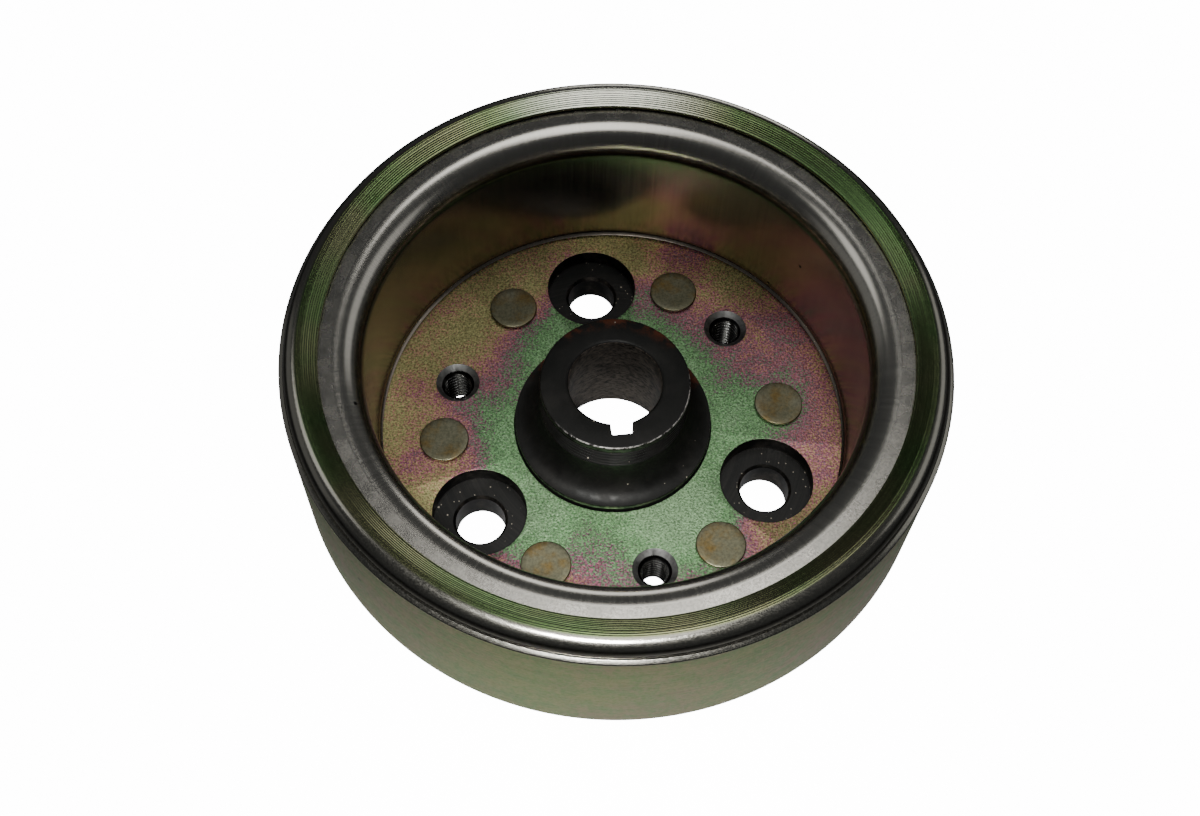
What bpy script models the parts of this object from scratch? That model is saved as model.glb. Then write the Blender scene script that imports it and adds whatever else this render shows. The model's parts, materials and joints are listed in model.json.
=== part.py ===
"""Magneto flywheel (outer-rotor alternator cup) of a small single-cylinder engine.

A drawn steel cup is riveted to a turned hub.  Arc magnets stand round the inside of the
cup's wall in a moulded cage, behind a thin drawn liner whose top flange is held under the
cup's rolled rim.  Three counterbored holes take the cap screws of a starter clutch, and
three tapped holes take a puller.  +Z is the bore axis, pointing out of the open cup; the
origin is on that axis, on the hub's back face.  Sizes below are in millimetres.
"""
import math

import bmesh
import bpy
from mathutils import Matrix, Vector

MM = 0.001
GAP = 0.3                       # clearance kept between pieces that touch

# Heights above the hub's back face
HUB_BACK = 0.0
FLANGE_TOP = 6.2
WEB_UNDER = FLANGE_TOP + GAP
FLOOR = 9.65
HUB_NOSE = 24.8
LIP = 39.8

# Cup
WALL_RADIUS = 57.3
WALL_THICKNESS = 4.0
CORNER_RADIUS = 5.0
FLOOR_CORNER_RADIUS = 2.0
STEP_DEPTH = 1.95               # below the lip
STEP_WIDTH = 0.9
CROWN_CENTRE = 53.8
CROWN_RADIUS = 2.6
LIP_RADIUS = 50.5
LIP_THICKNESS = 0.65
CUP_STEPS = 64

# Hub
NECK_RADIUS = 13.45
NECK_CHAMFER = 0.35
BOSS_RADIUS = 18.1
BOSS_TOP = 11.4
FLARE_HEIGHT = 6.8
FLANGE_RADIUS = 39.0
BORE_NOSE_RADIUS = 8.3
BORE_BACK_RADIUS = 10.4
BORE_CHAMFER = 0.7
BACK_CHAMFER = 0.5
HUB_STEPS = 40
KEYWAY_WIDTH = 4.0
KEYWAY_REACH = 10.6             # from the axis to the keyway's bottom at the nose
KEYWAY_ANGLE = -79.2

# Liner
LINER_RADIUS = 43.3
LINER_THICKNESS = 1.0
LINER_BEND_RADIUS = 5.0
LINER_TOP = LIP - LIP_THICKNESS - GAP
LINER_FOOT_HEIGHT = 1.6
LINER_FOOT_REACH = 0.7

# Magnets and their cage
MAGNET_COUNT = 12
MAGNET_THICKNESS = 8.0
MAGNET_BOTTOM = 11.6
MAGNET_TOP = 33.4
CAGE_RIB_TOP = 31.0
CAGE_RIB_ANGLE = 3.75
RIB_CLEARANCE_ANGLE = 0.5
MAGNET_STEPS = 5
CAGE_STEPS = 96

# Holes and rivets
HOLE_CIRCLE = 30.4
SCREW_HOLE_ANGLE = 100.9
SCREW_POCKET_RADIUS = 8.65
SCREW_HOLE_RADIUS = 4.5
SCREW_HOLE_MOUTH = 4.98
TAPPED_HOLE_ANGLE = 47.3
TAPPED_MINOR_RADIUS = 2.5
TAPPED_MOUTH_RADIUS = 4.1
TAPPED_MOUTH_DEPTH = 0.9
RIVET_COUNT = 6
RIVET_CIRCLE = 31.4
RIVET_ANGLE = 10.9
RIVET_HEAD_RADIUS = 4.5
RIVET_HEAD_RISE = 0.9
RIVET_SHANK_RADIUS = 3.0
RIVET_TAIL_RADIUS = 4.4
RIVET_TAIL_DEPTH = 1.8
RIVET_STEPS = 16
HOLE_STEPS = 20


def arc(centre, radius, start, end, count, squash=1.0):
    """Points (r, z) on an arc in the profile plane, angles in degrees from +r."""
    points = []
    for index in range(count + 1):
        angle = math.radians(start + (end - start) * index / count)
        points.append((centre[0] + radius * math.cos(angle),
                       centre[1] + radius * squash * math.sin(angle)))
    return points


def add_turned(bm, profile, steps, centre=(0.0, 0.0)):
    """Spin a closed (r, z) outline once round a vertical axis at centre."""
    start = set(bm.verts)
    loop = [bm.verts.new((centre[0] * MM + r * MM, centre[1] * MM, z * MM)) for r, z in profile]
    edges = [bm.edges.new((loop[i], loop[(i + 1) % len(loop)])) for i in range(len(loop))]
    bmesh.ops.spin(bm, geom=loop + edges, cent=Vector((centre[0], centre[1], 0.0)) * MM,
                   axis=(0.0, 0.0, 1.0), dvec=(0.0, 0.0, 0.0),
                   angle=2.0 * math.pi, steps=steps, use_merge=True)
    made = [vert for vert in bm.verts if vert not in start]
    bmesh.ops.remove_doubles(bm, verts=made, dist=1e-6)


def on_circle(radius, angle):
    """The (x, y) point at an angle in degrees on a circle round the axis."""
    turn = math.radians(angle)
    return radius * math.cos(turn), radius * math.sin(turn)


def spaced(count, first):
    """Angles of count equal places round the axis, from a first angle in degrees."""
    return [first + 360.0 * index / count for index in range(count)]


def material(name, colour, roughness, metallic):
    """A Principled material with one colour."""
    made = bpy.data.materials.new(name)
    made.use_nodes = True
    shader = made.node_tree.nodes["Principled BSDF"]
    shader.inputs["Base Color"].default_value = (*colour, 1.0)
    shader.inputs["Roughness"].default_value = roughness
    shader.inputs["Metallic"].default_value = metallic
    return made


def finish(name, bm, surface=None):
    """Close a bmesh into a named object, smooth over its shallow edges."""
    bmesh.ops.recalc_face_normals(bm, faces=bm.faces)
    mesh = bpy.data.meshes.new(name)
    bm.to_mesh(mesh)
    bm.free()
    if surface:
        mesh.materials.append(surface)
    mesh.shade_smooth()
    mesh.set_sharp_from_angle(angle=math.radians(30.0))
    made = bpy.data.objects.new(name, mesh)
    bpy.context.scene.collection.objects.link(made)
    return made


def cut(target, cutter):
    """Take a cutter's volume out of a target with a Boolean."""
    cutter.hide_render = True
    cutter.display_type = "WIRE"
    modifier = target.modifiers.new("holes", "BOOLEAN")
    modifier.operation = "DIFFERENCE"
    modifier.solver = "EXACT"
    modifier.object = cutter


def cylinder_profile(radius, low, high):
    """Outline of a plain cylinder on its own axis."""
    return [(0.0, low), (radius, low), (radius, high), (0.0, high)]


def cup_profile():
    """Outline of the cup's wall, web and rolled rim, from the lip outwards."""
    inner = WALL_RADIUS - WALL_THICKNESS
    shoulder = CROWN_CENTRE + CROWN_RADIUS
    crown_height = LIP - STEP_DEPTH + 0.55
    step = LIP - STEP_DEPTH
    lip_under = LIP - LIP_THICKNESS
    outline = [(LIP_RADIUS, lip_under), (LIP_RADIUS, LIP - 0.2), (LIP_RADIUS + 0.2, LIP)]
    outline += arc((CROWN_CENTRE, crown_height), CROWN_RADIUS, 110.0, 0.0, 8)
    outline += [(shoulder, step), (shoulder + STEP_WIDTH - 0.25, step), (WALL_RADIUS, step - 0.3)]
    outline += arc((WALL_RADIUS - CORNER_RADIUS, WEB_UNDER + CORNER_RADIUS),
                   CORNER_RADIUS, 0.0, -90.0, 6)
    outline += [(BOSS_RADIUS + GAP, WEB_UNDER), (BOSS_RADIUS + GAP, FLOOR)]
    outline += arc((inner - FLOOR_CORNER_RADIUS, FLOOR + FLOOR_CORNER_RADIUS),
                   FLOOR_CORNER_RADIUS, -90.0, 0.0, 3)
    outline.append((inner, lip_under))
    return outline


def make_cup(surface):
    """The drawn cup with its pockets, tapped holes and rivet holes."""
    bm = bmesh.new()
    add_turned(bm, cup_profile(), CUP_STEPS)
    cup = finish("rotor_shell", bm, surface)
    holes = bmesh.new()
    low, high = WEB_UNDER - 1.0, FLOOR + 1.0
    for angle in spaced(3, SCREW_HOLE_ANGLE):
        add_turned(holes, cylinder_profile(SCREW_POCKET_RADIUS, low, high), 2 * HOLE_STEPS,
                   on_circle(HOLE_CIRCLE, angle))
    mouth = FLOOR - TAPPED_MOUTH_DEPTH
    slope = (TAPPED_MOUTH_RADIUS - TAPPED_MINOR_RADIUS) / TAPPED_MOUTH_DEPTH
    tapped = [(0.0, low), (TAPPED_MINOR_RADIUS, low), (TAPPED_MINOR_RADIUS, mouth),
              (TAPPED_MOUTH_RADIUS + slope * (high - FLOOR), high), (0.0, high)]
    for angle in spaced(3, TAPPED_HOLE_ANGLE):
        add_turned(holes, tapped, HOLE_STEPS, on_circle(HOLE_CIRCLE, angle))
    for angle in spaced(RIVET_COUNT, RIVET_ANGLE):
        add_turned(holes, cylinder_profile(RIVET_SHANK_RADIUS + GAP, low, high), RIVET_STEPS,
                   on_circle(RIVET_CIRCLE, angle))
    cut(cup, finish("cup_holes", holes))


def hub_profile():
    """Outline of the hub: tapered bore, nose, flared boss and riveting flange."""
    outline = [(BORE_BACK_RADIUS + BACK_CHAMFER, HUB_BACK),
               (BORE_BACK_RADIUS, HUB_BACK + BACK_CHAMFER),
               (BORE_NOSE_RADIUS, HUB_NOSE - BORE_CHAMFER),
               (BORE_NOSE_RADIUS + BORE_CHAMFER, HUB_NOSE),
               (NECK_RADIUS - NECK_CHAMFER, HUB_NOSE),
               (NECK_RADIUS, HUB_NOSE - NECK_CHAMFER)]
    flare = BOSS_RADIUS - NECK_RADIUS
    outline += arc((BOSS_RADIUS, BOSS_TOP + FLARE_HEIGHT), flare, 180.0, 270.0, 6,
                   FLARE_HEIGHT / flare)
    outline += [(BOSS_RADIUS, FLANGE_TOP),
                (FLANGE_RADIUS - BACK_CHAMFER, FLANGE_TOP),
                (FLANGE_RADIUS, FLANGE_TOP - BACK_CHAMFER),
                (FLANGE_RADIUS, HUB_BACK + BACK_CHAMFER),
                (FLANGE_RADIUS - BACK_CHAMFER, HUB_BACK)]
    return outline


def add_keyway(bm):
    """A slanted block that follows the bore's taper, from the back to past the nose."""
    low, high = HUB_BACK - 1.0, HUB_NOSE + 1.0
    taper = (BORE_BACK_RADIUS - BORE_NOSE_RADIUS) / (HUB_NOSE - HUB_BACK)
    block = bmesh.ops.create_cube(bm, size=1.0)["verts"]
    for vert in block:
        height = high if vert.co.z > 0.0 else low
        reach = KEYWAY_REACH + taper * (HUB_NOSE - height)
        across = KEYWAY_WIDTH * vert.co.y
        vert.co = Vector((reach if vert.co.x > 0.0 else 0.0, across, height)) * MM
    turn = Matrix.Rotation(math.radians(KEYWAY_ANGLE), 3, "Z")
    bmesh.ops.rotate(bm, cent=(0.0, 0.0, 0.0), matrix=turn, verts=block)


def make_hub(surface):
    """The turned hub with its keyway, screw holes, tapped holes and rivet holes."""
    bm = bmesh.new()
    add_turned(bm, hub_profile(), HUB_STEPS)
    hub = finish("hub", bm, surface)
    holes = bmesh.new()
    low, high = HUB_BACK - 1.0, FLANGE_TOP + 1.0
    mouth = SCREW_HOLE_MOUTH - SCREW_HOLE_RADIUS
    screw = [(0.0, low), (SCREW_HOLE_RADIUS, low), (SCREW_HOLE_RADIUS, FLANGE_TOP - mouth),
             (SCREW_HOLE_MOUTH, FLANGE_TOP), (SCREW_HOLE_MOUTH, high), (0.0, high)]
    for angle in spaced(3, SCREW_HOLE_ANGLE):
        add_turned(holes, screw, HOLE_STEPS, on_circle(HOLE_CIRCLE, angle))
    for angle in spaced(3, TAPPED_HOLE_ANGLE):
        add_turned(holes, cylinder_profile(TAPPED_MINOR_RADIUS, low, high), HOLE_STEPS,
                   on_circle(HOLE_CIRCLE, angle))
    shank = RIVET_SHANK_RADIUS + GAP
    tail = RIVET_TAIL_RADIUS + 1.3 * GAP
    rivet = [(0.0, low), (tail, low), (tail, HUB_BACK),
             (shank, RIVET_TAIL_DEPTH), (shank, high), (0.0, high)]
    for angle in spaced(RIVET_COUNT, RIVET_ANGLE):
        add_turned(holes, rivet, RIVET_STEPS, on_circle(RIVET_CIRCLE, angle))
    add_keyway(holes)
    cut(hub, finish("hub_holes", holes))


def make_rivets(surface):
    """Flat-headed rivets whose tails are closed into the flange's countersinks."""
    head_low, head_high = FLOOR + GAP, FLOOR + RIVET_HEAD_RISE
    edge = 0.15
    outline = [(0.0, HUB_BACK + 0.1), (RIVET_TAIL_RADIUS, HUB_BACK + 0.1),
               (RIVET_SHANK_RADIUS, RIVET_TAIL_DEPTH), (RIVET_SHANK_RADIUS, head_low),
               (RIVET_HEAD_RADIUS, head_low), (RIVET_HEAD_RADIUS, head_high - edge),
               (RIVET_HEAD_RADIUS - edge, head_high), (0.0, head_high)]
    for number, angle in enumerate(spaced(RIVET_COUNT, RIVET_ANGLE), start=1):
        bm = bmesh.new()
        add_turned(bm, outline, RIVET_STEPS, on_circle(RIVET_CIRCLE, angle))
        finish(f"rivet_{number}", bm, surface)


def make_liner(surface):
    """The drawn liner: flange under the lip, soft bend, straight wall and rolled foot."""
    outside = LINER_RADIUS + LINER_THICKNESS
    bend_radius = LINER_RADIUS + LINER_BEND_RADIUS
    bend_height = LINER_TOP - LINER_BEND_RADIUS
    edge = WALL_RADIUS - WALL_THICKNESS - GAP
    bottom = FLOOR + GAP
    outline = [(edge, LINER_TOP)]
    outline += arc((bend_radius, bend_height), LINER_BEND_RADIUS, 90.0, 180.0, 6)
    outline += [(LINER_RADIUS, bottom + LINER_FOOT_HEIGHT),
                (LINER_RADIUS - LINER_FOOT_REACH, bottom + LINER_FOOT_REACH),
                (LINER_RADIUS - LINER_FOOT_REACH, bottom), (outside, bottom)]
    outline += arc((bend_radius, bend_height), LINER_BEND_RADIUS - LINER_THICKNESS,
                   180.0, 90.0, 4)
    outline.append((edge, LINER_TOP - LINER_THICKNESS))
    bm = bmesh.new()
    add_turned(bm, outline, CUP_STEPS)
    finish("magnet_liner", bm, surface)


def make_cage(surface):
    """A moulded ring on the cup's floor, with a rib between each two magnets."""
    outer = WALL_RADIUS - WALL_THICKNESS - GAP
    inner = LINER_RADIUS + LINER_THICKNESS + GAP
    bottom, top = FLOOR + FLOOR_CORNER_RADIUS - 1.3, MAGNET_BOTTOM - GAP
    bm = bmesh.new()
    add_turned(bm, [(inner, bottom), (outer - FLOOR_CORNER_RADIUS, bottom),
                    (outer - FLOOR_CORNER_RADIUS, top), (inner, top)], CAGE_STEPS)
    steps_apart = CAGE_STEPS // MAGNET_COUNT
    for face in list(bm.faces):
        centre = face.calc_center_median()
        step = int(math.degrees(math.atan2(centre.y, centre.x)) % 360.0 // CAGE_RIB_ANGLE)
        if centre.z > (top - 0.01) * MM and step % steps_apart == 0:
            raised = bmesh.ops.extrude_discrete_faces(bm, faces=[face])["faces"]
            bmesh.ops.translate(bm, verts=raised[0].verts,
                                vec=(0.0, 0.0, (CAGE_RIB_TOP - top) * MM))
    finish("magnet_cage", bm, surface)


def make_magnets(surface):
    """Arc magnets standing between the cage's ribs."""
    pitch = 360.0 / MAGNET_COUNT
    inner = LINER_RADIUS + LINER_THICKNESS + GAP
    span = pitch - CAGE_RIB_ANGLE - 2.0 * RIB_CLEARANCE_ANGLE
    for number in range(MAGNET_COUNT):
        start = math.radians(pitch * number + CAGE_RIB_ANGLE + RIB_CLEARANCE_ANGLE)
        corners = [(inner, MAGNET_BOTTOM), (inner + MAGNET_THICKNESS, MAGNET_BOTTOM),
                   (inner + MAGNET_THICKNESS, MAGNET_TOP), (inner, MAGNET_TOP)]
        bm = bmesh.new()
        loop = [bm.verts.new(Vector((r * math.cos(start), r * math.sin(start), z)) * MM)
                for r, z in corners]
        edges = [bm.edges.new((loop[i], loop[(i + 1) % len(loop)])) for i in range(len(loop))]
        bmesh.ops.spin(bm, geom=loop + edges, cent=(0.0, 0.0, 0.0), axis=(0.0, 0.0, 1.0),
                       dvec=(0.0, 0.0, 0.0), angle=math.radians(span), steps=MAGNET_STEPS)
        bmesh.ops.holes_fill(bm, edges=[edge for edge in bm.edges if edge.is_boundary])
        finish(f"magnet_{number + 1}", bm, surface)


def main():
    """Clear the scene and make every piece of the flywheel."""
    for old in list(bpy.data.objects):
        bpy.data.objects.remove(old, do_unlink=True)
    zinc = material("yellow_zinc", (0.36, 0.36, 0.22), 0.38, 1.0)
    black_oxide = material("black_oxide", (0.02, 0.02, 0.02), 0.45, 0.6)
    stainless = material("stainless", (0.42, 0.40, 0.37), 0.3, 1.0)
    rivet_steel = material("rivet_steel", (0.35, 0.33, 0.26), 0.4, 1.0)
    ferrite = material("ferrite", (0.07, 0.07, 0.075), 0.7, 0.0)
    nylon = material("nylon", (0.03, 0.03, 0.03), 0.55, 0.0)
    make_cup(zinc)
    make_hub(black_oxide)
    make_rivets(rivet_steel)
    make_liner(stainless)
    make_cage(nylon)
    make_magnets(ferrite)


main()
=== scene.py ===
"""Looks of a magneto flywheel: finely turned cup, hub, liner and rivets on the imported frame.

Every size is in metres.  The frame gives the overall sizes and the places of the pieces, and
the dataclass fields below give the sizes of the details.  CLEARANCE is the air between two
pieces that don't touch, PAST is how far a cutter reaches past what it cuts, and SAME_RADIUS is
how near to a radius a point counts as lying on it.
"""
from __future__ import annotations

import json
import logging
import math
from dataclasses import dataclass, field
from enum import Enum, IntEnum
from functools import reduce
from typing import Callable, Sequence

import bmesh
import bpy
from mathutils import Matrix, Vector

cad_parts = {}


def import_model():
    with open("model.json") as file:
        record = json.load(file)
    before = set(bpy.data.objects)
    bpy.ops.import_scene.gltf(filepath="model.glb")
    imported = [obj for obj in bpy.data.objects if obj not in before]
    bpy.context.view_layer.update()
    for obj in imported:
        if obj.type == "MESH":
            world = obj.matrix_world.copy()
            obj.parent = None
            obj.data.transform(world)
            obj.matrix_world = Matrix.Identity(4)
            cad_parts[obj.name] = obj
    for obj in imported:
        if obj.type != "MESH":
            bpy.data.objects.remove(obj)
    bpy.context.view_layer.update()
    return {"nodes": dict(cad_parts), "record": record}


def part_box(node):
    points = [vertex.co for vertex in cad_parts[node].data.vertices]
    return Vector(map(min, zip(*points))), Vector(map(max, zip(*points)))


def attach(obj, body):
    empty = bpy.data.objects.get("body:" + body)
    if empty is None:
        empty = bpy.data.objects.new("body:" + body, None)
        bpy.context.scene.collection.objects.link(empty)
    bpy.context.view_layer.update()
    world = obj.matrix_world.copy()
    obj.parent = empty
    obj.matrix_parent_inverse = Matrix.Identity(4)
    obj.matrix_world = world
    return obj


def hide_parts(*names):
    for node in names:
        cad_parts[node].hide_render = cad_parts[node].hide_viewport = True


MM = 0.001
CLEARANCE = 0.3 * MM
PAST = 1.0 * MM
SAME_RADIUS = 0.01 * MM
LOG = logging.getLogger("flywheel")

Point = tuple[float, float]
Colour = tuple[float, float, float]
Tint = tuple[float, float, float, float]
Object = bpy.types.Object
Material = bpy.types.Material
Socket = bpy.types.NodeSocket
BMesh = bmesh.types.BMesh


# ---- shapes

class Quality(Enum):
    """Steps round a full turn."""

    LARGE = 288
    THREADED = 216
    SMALL = 64
    THREAD_HOLE = 40


def arc(centre: Point, radius: float, start: float, end: float, count: int,
        squash: float = 1.0) -> list[Point]:
    """Points of an arc in the outline plane.

    Args:
        centre: the arc's centre, as radius from the axis and height.
        radius: the arc's radius.
        start: first angle in degrees, from outwards.
        end: last angle in degrees.
        count: number of chords.
        squash: height of the arc over its width.

    Returns:
        count + 1 points from start to end.
    """
    turns = [math.radians(start + (end - start) * i / count) for i in range(count + 1)]
    return [(centre[0] + radius * math.cos(t), centre[1] + radius * squash * math.sin(t))
            for t in turns]


def on_circle(radius: float, degrees: float) -> Vector:
    """The point at an angle on a circle round the axis, at height 0."""
    turn = math.radians(degrees)
    return Vector((radius * math.cos(turn), radius * math.sin(turn), 0.0))


def winding(spoke: Vector, height: float, pitch: float, depth: float) -> float:
    """How deep a right-hand thread is at a direction and a height, from 0 to its depth."""
    phase = height / pitch - math.atan2(spoke.y, spoke.x) / math.tau
    return depth * (0.5 + 0.5 * math.cos(math.tau * phase))


def turn_outline(bm: BMesh, outline: Sequence[Point], steps: int,
                 place: Vector = Vector()) -> None:
    """Spin a closed outline once round a vertical axis.

    Args:
        bm: the mesh that receives the turned shape.
        outline: points as radius and height.
        steps: steps round the full turn.
        place: a point on the axis.
    """
    older = set(bm.verts)
    ring = [bm.verts.new(place + Vector((r, 0.0, z))) for r, z in outline]
    sides = [bm.edges.new((vert, ring[(i + 1) % len(ring)])) for i, vert in enumerate(ring)]
    bmesh.ops.spin(bm, geom=ring + sides, cent=place, axis=(0.0, 0.0, 1.0),
                   dvec=(0.0, 0.0, 0.0), angle=math.tau, steps=steps, use_merge=True)
    newer = [vert for vert in bm.verts if vert not in older]
    bmesh.ops.remove_doubles(bm, verts=newer, dist=1e-7)


def to_object(bm: BMesh, name: str) -> Object:
    """Turn a closed bmesh into an object with outward faces, standing at the origin.

    Args:
        bm: the mesh, which is freed.
        name: the name of the object and of its mesh.

    Returns:
        The object, linked to the scene.
    """
    bmesh.ops.recalc_face_normals(bm, faces=bm.faces)
    mesh = bpy.data.meshes.new(name)
    bm.to_mesh(mesh)
    bm.free()
    made = bpy.data.objects.new(name, mesh)
    bpy.context.scene.collection.objects.link(made)
    return made


def carve(body: Object, cutter: Object) -> None:
    """Take a cutter's volume out of a body for good, and remove the cutter.

    Args:
        body: the object that is cut.
        cutter: the closed object whose volume goes.
    """
    modifier = body.modifiers.new("carve", "BOOLEAN")
    modifier.operation = "DIFFERENCE"
    modifier.solver = "EXACT"
    modifier.object = cutter
    bpy.context.view_layer.update()
    graph = bpy.context.evaluated_depsgraph_get()
    carved = bpy.data.meshes.new_from_object(body.evaluated_get(graph))
    body.modifiers.clear()
    body.data = carved
    bpy.data.objects.remove(cutter, do_unlink=True)


def smooth(body: Object, sharp_degrees: float) -> None:
    """Shade a body smooth, keeping edges sharper than an angle crisp."""
    body.data.shade_smooth()
    body.data.set_sharp_from_angle(angle=math.radians(sharp_degrees))


def dress(body: Object, finishes: Sequence[Material],
          choose: Callable[[Vector, Vector], int]) -> None:
    """Give a body its finishes.

    Args:
        body: the object to dress.
        finishes: its materials, in slot order.
        choose: gives the slot for a face's centre and normal.
    """
    body.data.materials.clear()
    for finish in finishes:
        body.data.materials.append(finish)
    for face in body.data.polygons:
        face.material_index = int(choose(face.center, face.normal))


# ---- material nodes

class Graph:
    """Builds one material's node tree; every pattern is laid out in Object coordinates."""

    def __init__(self, name: str) -> None:
        """Start a material with a Principled shader, and find the place on the piece."""
        self.material = bpy.data.materials.new(name)
        self.material.use_nodes = True
        self.nodes = self.material.node_tree.nodes
        self.links = self.material.node_tree.links
        self.shader = self.nodes["Principled BSDF"]
        self.place = self.add("TexCoord").outputs["Object"]
        split = self.add("SeparateXYZ", Vector=self.place)
        self.x, self.y, self.z = split.outputs

    def add(self, kind: str, **inputs: object) -> bpy.types.Node:
        """Add a shader node; each keyword names an input and gives its socket or value."""
        node = self.nodes.new("ShaderNode" + kind)
        for key, value in inputs.items():
            self.feed(node.inputs[key.replace("_", " ")], value)
        return node

    def feed(self, target: Socket, value: object) -> None:
        """Link a socket to an input, or set the input to a value."""
        if isinstance(value, Socket):
            self.links.new(value, target)
        elif isinstance(value, tuple) and len(value) == 3 and target.type == "RGBA":
            target.default_value = (*value, 1.0)
        else:
            target.default_value = value

    def math(self, operation: str, *values: object) -> Socket:
        """A Math node of one or two values."""
        node = self.add("Math")
        node.operation = operation
        for target, value in zip(node.inputs, values):
            self.feed(target, value)
        return node.outputs[0]

    def plus(self, *values: object) -> Socket:
        """The sum of two or more values."""
        return reduce(lambda first, second: self.math("ADD", first, second), values)

    def times(self, *values: object) -> Socket:
        """The product of two or more values."""
        return reduce(lambda first, second: self.math("MULTIPLY", first, second), values)

    def spread(self, value: Socket, low: float, high: float, to_low: float = 0.0,
               to_high: float = 1.0) -> Socket:
        """Carry a value smoothly and clamped from one range to another.

        Args:
            value: the value to carry.
            low: the start of its range.
            high: the end of its range.
            to_low: what the start becomes.
            to_high: what the end becomes.

        Returns:
            The carried value's socket.
        """
        node = self.add("MapRange", Value=value, From_Min=low, From_Max=high,
                        To_Min=to_low, To_Max=to_high)
        node.interpolation_type = "SMOOTHSTEP"
        return node.outputs[0]

    def radius(self) -> Socket:
        """Distance from the flywheel's axis."""
        return self.away((0.0, 0.0))

    def away(self, spot: Point) -> Socket:
        """Distance in plan from a spot."""
        across = self.math("SUBTRACT", self.x, spot[0])
        along = self.math("SUBTRACT", self.y, spot[1])
        return self.math("SQRT", self.plus(self.times(across, across), self.times(along, along)))

    def polar(self, around: float, rise: float, out: float) -> Socket:
        """Coordinates that follow the turning: angle, height and radius, each scaled."""
        turned = self.math("ARCTAN2", self.y, self.x)
        across, along = self.math("COSINE", turned), self.math("SINE", turned)
        up = self.plus(self.times(self.z, rise), self.times(self.radius(), out))
        return self.add("CombineXYZ", X=self.times(across, around),
                        Y=self.times(along, around), Z=up).outputs[0]

    def noise(self, scale: float, detail: float = 2.0, roughness: float = 0.5,
              vector: Socket | None = None) -> Socket:
        """A noise value of about 0 to 1."""
        return self.add("TexNoise", Vector=vector or self.place, Scale=scale,
                        Detail=detail, Roughness=roughness).outputs[0]

    def specks(self, scale: float, share: float, size: float = 0.35) -> Socket:
        """Mask of scattered small round specks.

        Args:
            scale: cells in a metre.
            share: share of the cells that hold a speck.
            size: a speck's radius over its cell's size.

        Returns:
            A socket that is 1 on the specks and 0 off them.
        """
        node = self.add("TexVoronoi", Vector=self.place, Scale=scale)
        pick = self.add("SeparateXYZ", Vector=node.outputs["Color"]).outputs[0]
        near = self.spread(node.outputs["Distance"], size * 0.6, size, 1.0, 0.0)
        return self.times(near, self.math("LESS_THAN", pick, share))

    def ramp(self, value: Socket, stops: Sequence[tuple[float, Colour]]) -> Socket:
        """A colour ramp through stops of position and colour."""
        node = self.add("ValToRGB", Fac=value)
        elements = node.color_ramp.elements
        for index, (position, colour) in enumerate(stops):
            stop = elements[index] if index < 2 else elements.new(position)
            stop.position = position
            stop.color = (*colour, 1.0)
        return node.outputs[0]

    def mix(self, share: object, first: object, second: object, blend: str = "MIX") -> Socket:
        """A colour mixed from two.

        Args:
            share: share of the second colour, from 0 to 1.
            first: the first colour.
            second: the second colour.
            blend: how the two are mixed.

        Returns:
            The mixed colour's socket.
        """
        node = self.add("Mix")
        node.data_type = "RGBA"
        node.blend_type = blend
        colours = [socket for socket in node.inputs if socket.type == "RGBA"]
        for target, value in zip((node.inputs[0], *colours), (share, first, second)):
            self.feed(target, value)
        return next(socket for socket in node.outputs if socket.type == "RGBA")

    def scaled(self, colour: object, factor: Socket) -> Socket:
        """A colour made lighter or darker by a factor."""
        grey = self.add("CombineXYZ", X=factor, Y=factor, Z=factor).outputs[0]
        return self.mix(1.0, colour, grey, "MULTIPLY")

    def bump(self, height: Socket, distance: float, strength: float = 1.0) -> None:
        """Raise the surface by a height of 0 to 1 times a distance in metres."""
        under = self.shader.inputs["Normal"]
        node = self.add("Bump", Height=height, Distance=distance, Strength=strength)
        if under.is_linked:
            self.links.new(under.links[0].from_socket, node.inputs["Normal"])
        self.links.new(node.outputs[0], under)

    def finish(self, colour: object, roughness: object, metallic: float) -> Material:
        """Set the shader's main inputs.

        Args:
            colour: the base colour.
            roughness: the roughness.
            metallic: 1 for bare metal, 0 for none.

        Returns:
            The finished material.
        """
        self.feed(self.shader.inputs["Base Color"], colour)
        self.feed(self.shader.inputs["Roughness"], roughness)
        self.shader.inputs["Metallic"].default_value = metallic
        return self.material


# ---- finishes

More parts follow.
